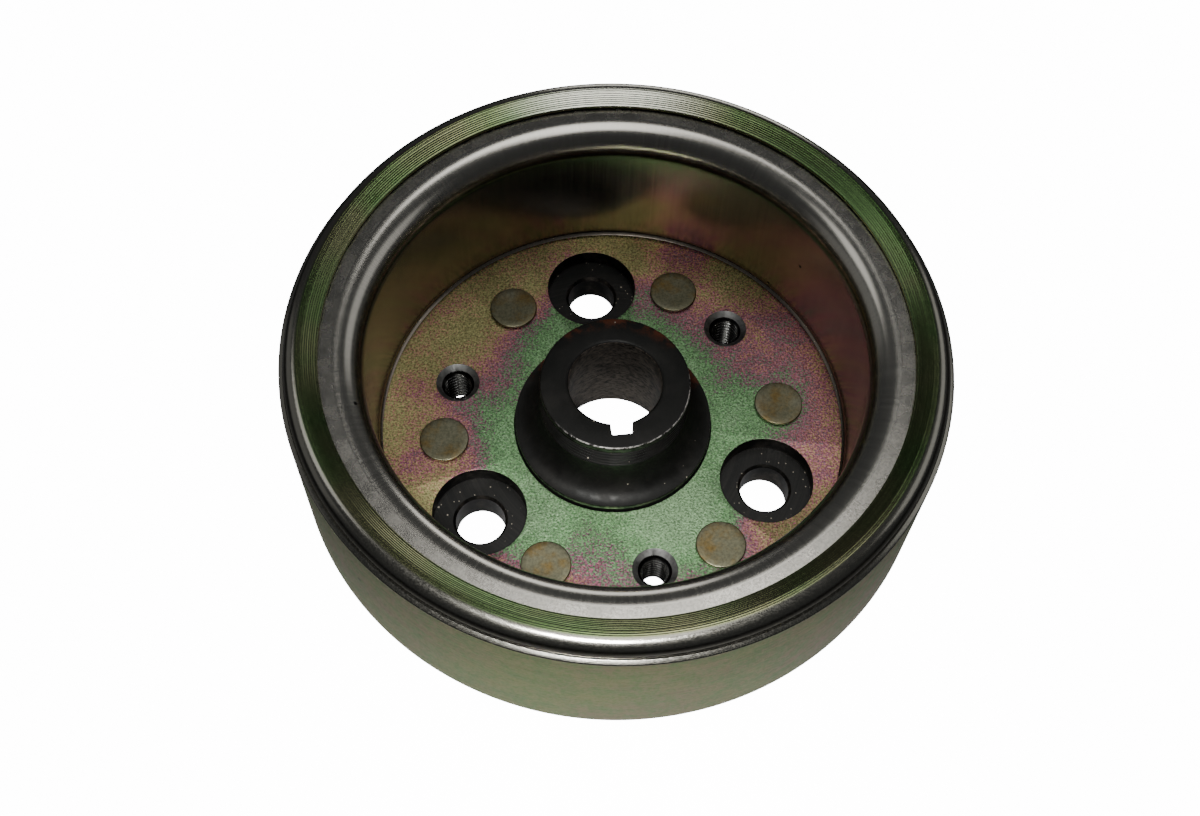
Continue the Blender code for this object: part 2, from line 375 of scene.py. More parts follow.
@dataclass(frozen=True)
class ZincPlate:
    """Yellow-chromate zinc: a film whose colour runs from straw through pink to green.

    A tint is a place where the film is thicker or thinner than round it: its radius in
    millimetres, its angle in degrees, its reach in millimetres and the change.
    """

    straw: Colour = (0.31, 0.29, 0.13)
    tan: Colour = (0.41, 0.25, 0.15)
    pink: Colour = (0.35, 0.11, 0.17)
    mauve: Colour = (0.20, 0.13, 0.15)
    green: Colour = (0.14, 0.30, 0.12)
    pale_green: Colour = (0.25, 0.39, 0.21)
    wall: Colour = (0.34, 0.36, 0.16)
    wall_pink: Colour = (0.38, 0.30, 0.20)
    wall_green: Colour = (0.20, 0.33, 0.13)
    wall_spot: Colour = (0.08, 0.07, 0.05)
    rim_green: Colour = (0.12, 0.21, 0.08)
    rim_straw: Colour = (0.22, 0.22, 0.12)
    # painted highlight: a whitish colour for the rim's far side, and the spot it spreads from
    rim_painted_highlight: Colour = (0.58, 0.58, 0.50)
    painted_highlight_spot: Point = (-4.0 * MM, 52.0 * MM)
    shoulder: Colour = (0.30, 0.29, 0.25)
    fading: tuple[float, float] = (18.0 * MM, 35.0 * MM)
    halo: tuple[float, float] = (12.0 * MM, 0.30)
    film_at_hub: float = 0.84
    film_at_wall: float = 0.22
    tints: tuple[Tint, ...] = (
        (33.0, 8.0, 15.0, 0.36), (40.0, 32.0, 18.0, 0.34), (31.0, 55.0, 12.0, 0.20),
        (40.0, 74.0, 9.0, 0.26), (31.0, 80.0, 7.0, 0.24), (26.0, 58.0, 9.0, -0.16),
        (26.0, 117.0, 7.0, 0.20), (23.0, 158.0, 9.0, -0.16), (40.0, 140.0, 8.0, 0.10),
        (30.0, 172.0, 9.0, 0.14), (39.0, 172.0, 6.0, 0.12), (37.0, 197.0, 8.0, 0.26),
        (30.0, 243.0, 13.0, 0.44), (33.0, 272.0, 13.0, 0.30), (30.0, 305.0, 18.0, 0.50),
        (40.0, 350.0, 10.0, 0.16),
    )

    def web(self, holes: Sequence[Vector]) -> Material:
        """The cup's floor: grainy, green near the hub and the holes, straw far from them.

        Args:
            holes: centres of the holes that the film follows.

        Returns:
            The material.
        """
        g = Graph("zinc_web")
        film = g.spread(g.radius(), *self.fading, self.film_at_hub, self.film_at_wall)
        places = [(on_circle(radius * MM, degrees).xy.to_tuple(), reach * MM, change)
                  for radius, degrees, reach, change in self.tints]
        places += [(hole.xy.to_tuple(), *self.halo) for hole in holes]
        for spot, reach, change in places:
            film = g.plus(film, g.spread(g.away(spot), 0.0, reach, change, 0.0))
        grain = g.noise(2600.0, 2.0, 0.7)
        film = g.plus(film, g.spread(g.noise(75.0, 3.0, 0.6), 0.25, 0.75, -0.1, 0.1),
                      g.spread(g.noise(420.0, 2.0, 0.6), 0.25, 0.75, -0.06, 0.06),
                      g.spread(grain, 0.3, 0.7, -0.15, 0.15))
        colour = g.ramp(film, ((0.0, self.straw), (0.24, self.straw), (0.36, self.tan),
                               (0.48, self.pink), (0.58, self.mauve), (0.72, self.green),
                               (0.95, self.pale_green)))
        light = g.spread(g.noise(2500.0, 2.0, 0.7), 0.3, 0.7, 0.55, 1.55)
        rough = g.spread(g.noise(900.0, 3.0), 0.3, 0.7, 0.34, 0.46)
        g.bump(grain, 0.08 * MM, 0.8)
        return g.finish(g.scaled(colour, light), rough, 1.0)

    def outside(self) -> Material:
        """The cup's wall and underside: satin olive with soft clouds."""
        g = Graph("zinc_wall")
        clouds = g.noise(30.0, 3.0, 0.6)
        rings = g.noise(1.0, 3.0, 0.7, g.polar(3.0, 2600.0, 0.0))
        share = g.spread(clouds, 0.35, 0.7)
        colour = g.mix(share, self.wall, self.wall_pink)
        fine = g.noise(1500.0, 3.0, 0.6)
        speckle = g.plus(g.noise(260.0, 4.0, 0.75), g.times(fine, 0.5))
        colour = g.mix(g.spread(speckle, 0.6, 0.95, 0.0, 0.7), colour, self.wall_green)
        colour = g.mix(g.specks(300.0, 0.012, 0.16), colour, self.wall_spot)
        light = g.spread(rings, 0.2, 0.8, 0.86, 1.14)
        rough = g.spread(fine, 0.3, 0.7, 0.3, 0.4)
        g.bump(fine, 0.01 * MM, 0.5)
        return g.finish(g.scaled(colour, light), rough, 1.0)

    def rim(self, split_radius: float) -> Material:
        """The rolled rim: turned green top inside a radius, whitened by a painted highlight on
        its far side, smooth grey shoulder outside.
        """
        g = Graph("zinc_rim")
        rings = g.noise(1.0, 2.0, 0.6, g.polar(1.6, 0.0, 5200.0))
        clouds = g.noise(45.0, 3.0, 0.6)
        top = g.mix(g.spread(clouds, 0.3, 0.7), self.rim_green, self.rim_straw)
        # painted highlight: the turned top is whitened round a spot on the far side, where the
        # grooves catch the light
        painted_far_highlight = g.spread(g.away(self.painted_highlight_spot), 4.0 * MM, 24.0 * MM, 0.85, 0.0)
        top = g.mix(painted_far_highlight, top, self.rim_painted_highlight)
        top = g.scaled(top, g.spread(rings, 0.25, 0.75, 0.78, 1.25))
        outer = g.spread(g.radius(), split_radius - 0.3 * MM, split_radius + 0.3 * MM)
        colour = g.mix(outer, top, self.shoulder)
        g.bump(rings, 0.02 * MM, 0.5)
        sparkle = g.noise(4200.0, 2.0, 0.7)
        g.bump(sparkle, 0.012 * MM, 0.6)
        rough = g.spread(sparkle, 0.3, 0.7, 0.14, 0.26)
        return g.finish(colour, rough, 1.0)


@dataclass(frozen=True)
class BlackOxide:
    """Oiled black oxide on turned steel, with rust, dust and a painted highlight on an edge."""

    black: Colour = (0.010, 0.010, 0.009)
    bloom: Colour = (0.018, 0.017, 0.015)
    rust: Colour = (0.11, 0.030, 0.012)
    # colour of the painted highlight on the hub's nose edge
    painted_highlight_steel: Colour = (0.45, 0.43, 0.40)
    dust: Colour = (0.42, 0.38, 0.30)
    bore_grey: Colour = (0.21, 0.18, 0.15)
    cut_steel: Colour = (0.42, 0.42, 0.40)

    def turned(self, nose_height: float, edge_radius: float) -> Material:
        """The hub's outside: black, a rust bloom on the far edge, a painted highlight on the
        near edge.
        """
        g = Graph("hub_black")
        cloud = g.noise(120.0, 4.0, 0.6)
        colour = g.mix(g.spread(cloud, 0.45, 0.8), self.black, self.bloom)
        radius = g.radius()
        # painted highlight: bright steel painted on the nose chamfer, on its near right side
        # only
        toward = g.math("SUBTRACT", g.times(g.x, 0.55), g.y)
        painted_edge_highlight = g.times(g.spread(radius, edge_radius - 0.26 * MM, edge_radius - 0.14 * MM),
                       g.spread(g.z, nose_height - 0.28 * MM, nose_height - 0.16 * MM),
                       g.spread(toward, 2.0 * MM, 9.0 * MM),
                       g.spread(g.noise(900.0, 3.0, 0.7), 0.4, 0.6))
        rusty = g.times(g.spread(radius, edge_radius - 3.0 * MM, edge_radius),
                        g.spread(g.y, 6.0 * MM, 11.0 * MM),
                        g.spread(g.noise(260.0, 4.0, 0.7), 0.45, 0.62))
        colour = g.mix(g.times(rusty, 0.7), colour, self.rust)
        colour = g.mix(painted_edge_highlight, colour, self.painted_highlight_steel)
        colour = g.mix(g.specks(1500.0, 0.012, 0.25), colour, self.dust)
        rings = g.noise(1.0, 3.0, 0.7, g.polar(12.0, 1700.0, 900.0))
        rough = g.spread(g.noise(500.0, 3.0), 0.3, 0.7, 0.42, 0.6)
        g.bump(rings, 0.03 * MM, 0.6)
        g.bump(g.noise(1400.0, 3.0, 0.7), 0.02 * MM, 0.6)
        g.shader.inputs["Specular IOR Level"].default_value = 0.25
        return g.finish(colour, rough, 0.6)

    def bore(self, back_height: float) -> Material:
        """The ground tapered bore: grey-brown, ringed, with painted shade at its back edge."""
        g = Graph("hub_bore")
        rings = g.noise(1.0, 4.0, 0.7, g.polar(9.0, 1500.0, 0.0))
        patches = g.noise(160.0, 3.0, 0.6)
        share = g.times(g.spread(rings, 0.25, 0.7), g.spread(patches, 0.25, 0.6, 0.35))
        colour = g.mix(share, self.black, self.bore_grey)
        # painted shade: the last 1.2 mm of the bore towards the back is painted black
        colour = g.mix(g.spread(g.z, back_height, back_height + 1.2 * MM, 1.0, 0.0),
                       colour, self.black)
        g.bump(rings, 0.03 * MM, 0.5)
        return g.finish(colour, 0.42, 0.8)

    def ledge(self) -> Material:
        """Black machined faces at the bottom of the pockets, ringed and dusty."""
        g = Graph("flange_ledge")
        rings = g.noise(1.0, 2.0, 0.7, g.polar(1.2, 0.0, 2300.0))
        colour = g.mix(g.spread(rings, 0.35, 0.75), self.black, self.bloom)
        dusty = g.math("MAXIMUM", g.specks(1100.0, 0.06, 0.25), g.specks(2200.0, 0.07, 0.3))
        colour = g.mix(g.times(dusty, 0.8), colour, self.dust)
        g.bump(rings, 0.03 * MM, 0.6)
        return g.finish(colour, 0.45, 0.6)

    def hole(self, name: str) -> Material:
        """Drilled walls: dark, with brown patches of uncoated steel."""
        g = Graph(name)
        share = g.spread(g.noise(300.0, 3.0, 0.6), 0.4, 0.8, 0.0, 0.45)
        g.bump(g.noise(1.0, 2.0, 0.6, g.polar(60.0, 2500.0, 0.0)), 0.02 * MM, 0.5)
        return g.finish(g.mix(share, self.black, self.bore_grey), 0.36, 0.9)

    def tapped(self, name: str, holes: Sequence[Vector], crest: float,
               root: float) -> Material:
        """Cut threads and their grey mouths: steel crests, with painted shade keeping the roots
        between them black.

        Args:
            name: the material's name.
            holes: centres of the tapped holes.
            crest: radius of the thread's crest.
            root: radius of the thread's root.

        Returns:
            The material.
        """
        g = Graph(name)
        reach = g.away(holes[0].xy.to_tuple())
        for hole in holes[1:]:
            reach = g.math("MINIMUM", reach, g.away(hole.xy.to_tuple()))
        # painted shade: everything past the crest, in the thread's roots, is painted black; only
        # the crests and the mouths keep the steel colour
        turn = g.spread(reach, crest + 0.03 * MM, crest + 0.18 * MM, 1.0, 0.0)
        mouth = g.spread(reach, root - 0.05 * MM, root + 0.15 * MM)
        share = g.times(g.math("MAXIMUM", turn, g.times(mouth, 0.42)),
                        g.spread(g.noise(600.0, 3.0, 0.6), 0.3, 0.65, 0.5, 1.0))
        return g.finish(g.mix(share, self.black, self.cut_steel),
                        g.spread(mouth, 0.0, 1.0, 0.26, 0.5), 1.0)


@dataclass(frozen=True)
class DrawnStainless:
    """Plain drawn stainless sheet."""

    # the flange's satin colour, also used for the painted sheen on the bend
    light: Colour = (0.46, 0.44, 0.39)
    brown: Colour = (0.37, 0.31, 0.25)
    dark: Colour = (0.26, 0.23, 0.19)
    pit: Colour = (0.02, 0.015, 0.01)
    painted_sheen_from: float = 34.0 * MM
    painted_sheen_at: float = 38.0 * MM

    def flange(self) -> Material:
        """The liner's flat flange: pale and satin, as the sheet was rolled."""
        g = Graph("flange_satin")
        grain = g.noise(3000.0, 2.0, 0.6)
        colour = g.scaled(self.light, g.spread(grain, 0.25, 0.75, 0.8, 1.2))
        g.bump(grain, 0.01 * MM, 0.5)
        return g.finish(colour, g.spread(g.noise(300.0, 2.0), 0.3, 0.7, 0.24, 0.30), 1.0)

    def drawn(self) -> Material:
        """The liner's bend and wall: ironed smooth and browned, with faint draw lines and a
        painted sheen that lightens the bend.
        """
        g = Graph("drawn_stainless")
        cloud = g.spread(g.noise(40.0, 3.0, 0.6), 0.3, 0.7)
        colour = g.mix(cloud, self.brown, self.dark)
        # painted highlight: the bend, between these heights, is painted in the light satin
        # colour
        colour = g.mix(g.spread(g.z, self.painted_sheen_from, self.painted_sheen_at), colour, self.light)
        draw = g.noise(1.0, 3.0, 0.6, g.polar(240.0, 25.0, 0.0))
        colour = g.scaled(colour, g.spread(draw, 0.25, 0.75, 0.9, 1.1))
        colour = g.mix(g.specks(420.0, 0.006, 0.2), colour, self.pit)
        rough = g.spread(draw, 0.3, 0.7, 0.20, 0.25)
        g.bump(draw, 0.004 * MM, 0.4)
        return g.finish(colour, rough, 1.0)


@dataclass(frozen=True)
class RivetPlate:
    """Dull plated rivet steel with a brown-yellow stain."""

    grey: Colour = (0.16, 0.155, 0.10)
    stain: Colour = (0.18, 0.125, 0.045)
    pale: Colour = (0.25, 0.25, 0.19)

    def head(self) -> Material:
        """The rivets' heads and shanks."""
        g = Graph("rivet_plate")
        share = g.spread(g.noise(220.0, 4.0, 0.65), 0.42, 0.7)
        colour = g.mix(share, self.grey, self.stain)
        colour = g.mix(g.spread(g.noise(90.0, 2.0), 0.5, 0.75, 0.0, 0.6), colour, self.pale)
        grain = g.noise(1800.0, 3.0, 0.65)
        colour = g.scaled(colour, g.spread(grain, 0.25, 0.75, 0.75, 1.25))
        g.bump(grain, 0.02 * MM, 0.5)
        return g.finish(colour, 0.42, 1.0)


@dataclass(frozen=True)
class HiddenParts:
    """Finishes of the pieces behind the liner."""

    ferrite: Colour = (0.055, 0.055, 0.06)
    nylon: Colour = (0.02, 0.02, 0.022)

    def magnet(self) -> Material:
        """Sintered ferrite: matt, finely pitted."""
        g = Graph("sintered_ferrite")
        pits = g.noise(1200.0, 3.0, 0.7)
        g.bump(pits, 0.03 * MM, 0.5)
        return g.finish(g.scaled(self.ferrite, g.spread(pits, 0.2, 0.8, 0.8, 1.2)), 0.72, 0.2)

    def cage(self) -> Material:
        """Moulded nylon with a fine spark-eroded texture."""
        g = Graph("moulded_nylon")
        grain = g.noise(2200.0, 2.0, 0.6)
        g.bump(grain, 0.02 * MM, 0.4)
        return g.finish(g.scaled(self.nylon, g.spread(grain, 0.2, 0.8, 0.8, 1.3)), 0.5, 0.0)


# ---- places from the frame

@dataclass(frozen=True)
class RivetPlace:
    """Where one rivet stands and how big it may be."""

    centre: Vector
    radius: float
    low: float
    high: float

    def tail_radius(self) -> float:
        """Radius of the closed tail at the flange's back."""
        return self.radius - 0.1 * MM

    def foot(self) -> Vector:
        """The point of the rivet's axis at height 0."""
        return Vector((self.centre.x, self.centre.y, 0.0))


@dataclass(frozen=True)
class Plan:
    """Overall sizes and places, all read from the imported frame."""

    wall_radius: float
    web_under: float
    rim_top: float
    floor: float
    liner_edge: float
    liner_top: float
    liner_foot: float
    flange_radius: float
    hub_back: float
    hub_nose: float
    pockets: tuple[Vector, ...]
    rivets: tuple[RivetPlace, ...]

    @classmethod
    def read(cls, record: dict) -> "Plan":
        """Read the sizes from the nodes' boxes and the record's openings.

        Args:
            record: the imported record, whose openings give the screw pockets.

        Returns:
            The flywheel's plan.
        """
        shell_low, shell_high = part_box("rotor_shell")
        liner_low, liner_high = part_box("magnet_liner")
        hub_low, hub_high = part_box("hub")
        pockets = [(Vector(opening["box_m"][0]) + Vector(opening["box_m"][1])) / 2
                   for opening in record["physics"]["openings"]
                   if opening["name"].startswith("screw_head_pocket")]
        rivets = []
        for number in range(1, 7):
            low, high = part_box(f"rivet_{number}")
            rivets.append(RivetPlace((low + high) / 2, (high.x - low.x) / 2, low.z, high.z))
        return cls(wall_radius=shell_high.x, web_under=shell_low.z, rim_top=shell_high.z,
                   floor=liner_low.z - CLEARANCE, liner_edge=liner_high.x,
                   liner_top=liner_high.z, liner_foot=liner_low.z,
                   flange_radius=hub_high.x, hub_back=hub_low.z, hub_nose=hub_high.z,
                   pockets=tuple(Vector((p.x, p.y, 0.0)) for p in pockets),
                   rivets=tuple(rivets))

    def spaced(self, count: int, first: float) -> list[Vector]:
        """Places on the pockets' circle, equally spaced from a first angle in degrees."""
        reach = self.pockets[0].length
        return [on_circle(reach, first + 360.0 * i / count) for i in range(count)]


# ---- pieces

class CupFace(IntEnum):
    """The finish of each kind of face on the cup."""

    WEB = 0
    OUTSIDE = 1
    RIM = 2
    HOLE = 3
    TAPPED = 4


class HubFace(IntEnum):
    """The finish of each kind of face on the hub."""

    OUTSIDE = 0
    BORE = 1
    LEDGE = 2
    HOLE = 3
    TAPPED = 4


class LinerFace(IntEnum):
    """The finish of each kind of face on the liner."""

    FLANGE = 0
    DRAWN = 1


@dataclass
class Holes:
    """The holes through the web and the flange."""

    plan: Plan
    pocket_radius: float = 8.5 * MM
    pocket_edge: float = 0.12 * MM
    screw_radius: float = 4.5 * MM
    screw_mouth: float = 4.98 * MM
    flange_top: float = 6.2 * MM
    tapped_angle: float = 47.3
    tapped_mouth: float = 4.1 * MM
    tapped_depth: float = 0.9 * MM
    tapped_seat: float = 2.85 * MM
    thread_pitch: float = 1.0 * MM
    thread_crest: float = 2.4 * MM
    thread_root: float = 3.0 * MM
    shank_radius: float = 3.3 * MM
    tail_depth: float = 1.8 * MM
    rows_in_pitch: int = 8

    def cutter(self, name: str, outline: Sequence[Point], steps: int) -> Object:
        """A cutter turned from an outline at every screw pocket's place."""
        bm = bmesh.new()
        for place in self.plan.pockets:
            turn_outline(bm, outline, steps, place)
        return to_object(bm, name)

    def pockets(self) -> Object:
        """Cutter of the three round pockets, with a softly broken upper edge."""
        low, top = self.plan.web_under - PAST, self.plan.floor
        edge = self.pocket_edge
        outline = [(0.0, low), (self.pocket_radius, low)]
        outline += arc((self.pocket_radius + edge, top - edge), edge, 180.0, 90.0, 4)
        outline += [(self.pocket_radius + edge, top + PAST), (0.0, top + PAST)]
        return self.cutter("pocket_cutter", outline, 2 * Quality.SMALL.value)

    def screws(self) -> Object:
        """Cutter of the three chamfered screw holes in the flange."""
        lead = self.screw_mouth - self.screw_radius
        low, top = self.plan.hub_back - PAST, self.flange_top
        outline = [(0.0, low), (self.screw_radius + lead, low),
                   (self.screw_radius + lead, self.plan.hub_back),
                   (self.screw_radius, self.plan.hub_back + lead),
                   (self.screw_radius, top - lead), (self.screw_mouth, top),
                   (self.screw_mouth, top + PAST), (0.0, top + PAST)]
        return self.cutter("screw_cutter", outline, Quality.SMALL.value)

    def tapped(self) -> Object:
        """Cutter of the three tapped holes: countersunk mouth above a helical thread."""
        bm = bmesh.new()
        low, top = self.plan.hub_back - PAST, self.plan.floor
        seat = top - self.tapped_depth
        rows = self.rows_in_pitch
        count = round((seat - CLEARANCE - low) / self.thread_pitch * rows)
        slope = (self.tapped_mouth - self.tapped_seat) / self.tapped_depth
        outline = [(0.0, low)]
        outline += [(self.thread_crest, low + i * self.thread_pitch / rows)
                    for i in range(count + 1)]
        outline += [(self.tapped_seat, seat), (self.tapped_mouth, top),
                    (self.tapped_mouth + slope * PAST, top + PAST),
                    (0.0, top + PAST)]
        for place in self.plan.spaced(3, self.tapped_angle):
            turn_outline(bm, outline, Quality.THREAD_HOLE.value, place)
            for vert in bm.verts:
                out = Vector((vert.co.x - place.x, vert.co.y - place.y, 0.0))
                depth = self.thread_root - out.length
                if abs(out.length - self.thread_crest) < SAME_RADIUS and low < vert.co.z < seat:
                    out.length = winding(out, vert.co.z, self.thread_pitch, depth) + 1e-6
                    vert.co += out
        return to_object(bm, "tapped_cutter")

    def in_tapped(self, point: Vector) -> bool:
        """Whether a point lies within a tapped hole or its mouth."""
        reach = self.tapped_mouth + 0.1 * MM
        return any((point.xy - place.xy).length < reach
                   for place in self.plan.spaced(3, self.tapped_angle))

    def tapped_finish(self, name: str) -> Material:
        """The finish of the tapped holes' walls."""
        return BlackOxide().tapped(name, self.plan.spaced(3, self.tapped_angle),
                                   self.thread_crest, self.thread_root)

    def shanks(self) -> Object:
        """Cutter of the six rivet holes, flared below for the closed tails."""
        bm = bmesh.new()
        low, high = self.plan.hub_back - PAST, self.plan.floor + PAST
        for place in self.plan.rivets:
            tail = place.tail_radius() + 1.3 * CLEARANCE
            outline = [(0.0, low), (tail, low), (tail, self.plan.hub_back),
                       (self.shank_radius, self.tail_depth), (self.shank_radius, high),
                       (0.0, high)]
            turn_outline(bm, outline, Quality.SMALL.value, place.foot())
        return to_object(bm, "shank_cutter")


@dataclass
class Cup:
    """The drawn steel cup with its turned, rolled rim."""

    plan: Plan
    holes: Holes
    thickness: float = 4.0 * MM
    corner: float = 5.0 * MM
    floor_corner: float = 2.0 * MM
    lip_radius: float = 50.5 * MM
    lip_under: float = 39.15 * MM
    lip_top: float = 39.8 * MM
    lip_round: float = 0.2 * MM
    crown_radius: float = 2.6 * MM
    crown_centre: float = 53.8 * MM
    groove_pitch: float = 0.38 * MM
    groove_depth: float = 0.018 * MM
    groove_count: int = 9
    points_in_groove: int = 5
    step_down: float = 1.95 * MM
    crease: float = 0.22 * MM
    edge: float = 0.3 * MM
    ledge_fall: float = 0.22 * MM
    bore_radius: float = 18.4 * MM
    seat_gap: float = 0.05 * MM

    def crown(self) -> list[Point]:
        """The rim's top from the lip to the crease: turned grooves, then a smooth shoulder."""
        centre = (self.crown_centre, self.plan.rim_top - self.crown_radius)
        start = (self.lip_radius + self.lip_round, self.lip_top)
        count = self.groove_count * self.points_in_groove
        swept = arc(centre, self.crown_radius, 110.0, 0.0, 40)
        path = [start] + swept
        turned = []
        for i in range(count + 1):
            reach = self.groove_pitch * i / self.points_in_groove
            point, side = self.along(path, reach)
            dip = self.groove_depth * (1.0 - math.cos(math.tau * reach / self.groove_pitch))
            turned.append((point[0] - side[0] * dip, point[1] - side[1] * dip))
        last = turned[-1]
        return turned + [p for p in swept if p[0] > last[0] + 0.1 * MM]

    @staticmethod
    def along(path: Sequence[Point], reach: float) -> tuple[Point, Point]:
        """The point and the outward side at a distance along a path."""
        for first, second in zip(path, path[1:]):
            step = math.dist(first, second)
            if reach <= step:
                share = reach / step
                point = (first[0] + share * (second[0] - first[0]),
                         first[1] + share * (second[1] - first[1]))
                return point, ((first[1] - second[1]) / step, (second[0] - first[0]) / step)
            reach -= step
        raise ValueError("the distance is past the end of the path")

    def outline(self) -> list[Point]:
        """The cup's closed outline, from the lip outwards and round."""
        plan, edge = self.plan, self.edge
        inner = plan.wall_radius - self.thickness
        shoulder = self.crown_centre + self.crown_radius
        step = self.lip_top - self.step_down
        lip = arc((self.lip_radius + self.lip_round, self.lip_top - self.lip_round),
                  self.lip_round, 180.0, 100.0, 3)
        points = [(self.lip_radius, self.lip_under + 0.1 * MM)] + lip + self.crown()
        points += [(shoulder - self.crease, step + self.crease),
                   (shoulder - self.crease, step - self.crease / 2),
                   (shoulder + 0.05 * MM, step - self.crease / 2),
                   (shoulder + 0.15 * MM, step)]
        points += arc((plan.wall_radius - edge, step - edge - self.ledge_fall), edge,
                      60.0, 0.0, 4)
        points += arc((plan.wall_radius - self.corner, plan.web_under + self.corner),
                      self.corner, 0.0, -90.0, 20)
        seat = self.holes.flange_top + self.seat_gap
        points += [(plan.flange_radius + 1.0 * MM, plan.web_under),
                   (plan.flange_radius + 0.8 * MM, seat), (self.bore_radius, seat),
                   (self.bore_radius, plan.floor)]
        points += arc((inner - self.floor_corner, plan.floor + self.floor_corner),
                      self.floor_corner, -90.0, 0.0, 6)
        points += [(inner, self.lip_under), (self.lip_radius + 0.1 * MM, self.lip_under)]
        return points

    def build(self) -> Object:
        """Turn the cup and cut its pockets, tapped holes and rivet holes."""
        bm = bmesh.new()
        turn_outline(bm, self.outline(), Quality.LARGE.value)
        cup = to_object(bm, "cup")
        for cutter in (self.holes.pockets(), self.holes.tapped(), self.holes.shanks()):
            carve(cup, cutter)
        smooth(cup, 35.0)
        zinc = ZincPlate()
        dress(cup, [zinc.web(self.plan.pockets), zinc.outside(),
                    zinc.rim(self.crown_centre + 0.3 * MM),
                    # painted shade and oil: the zinc cup's pocket walls are given a dark
                    # black-oxide finish
                    BlackOxide().hole("pocket_wall_shade_and_oil"),
                    self.holes.tapped_finish("tapped_mouth")], self.choose)
        return cup

    def choose(self, centre: Vector, normal: Vector) -> int:
        """The cup's finish for a face at a centre and with a normal."""
        reach = centre.xy.length
        ledge = self.lip_top - self.step_down - self.ledge_fall - self.edge
        if centre.z > ledge and reach > self.lip_radius:
            return CupFace.RIM
        if reach > self.plan.flange_radius + 8.0 * MM and normal.z < 0.7:
            return CupFace.OUTSIDE
        if normal.z > 0.9 and centre.z > self.plan.floor - 0.1 * MM:
            return CupFace.WEB
        if self.holes.in_tapped(centre):
            return CupFace.TAPPED
        return CupFace.HOLE if normal.z > -0.9 else CupFace.OUTSIDE


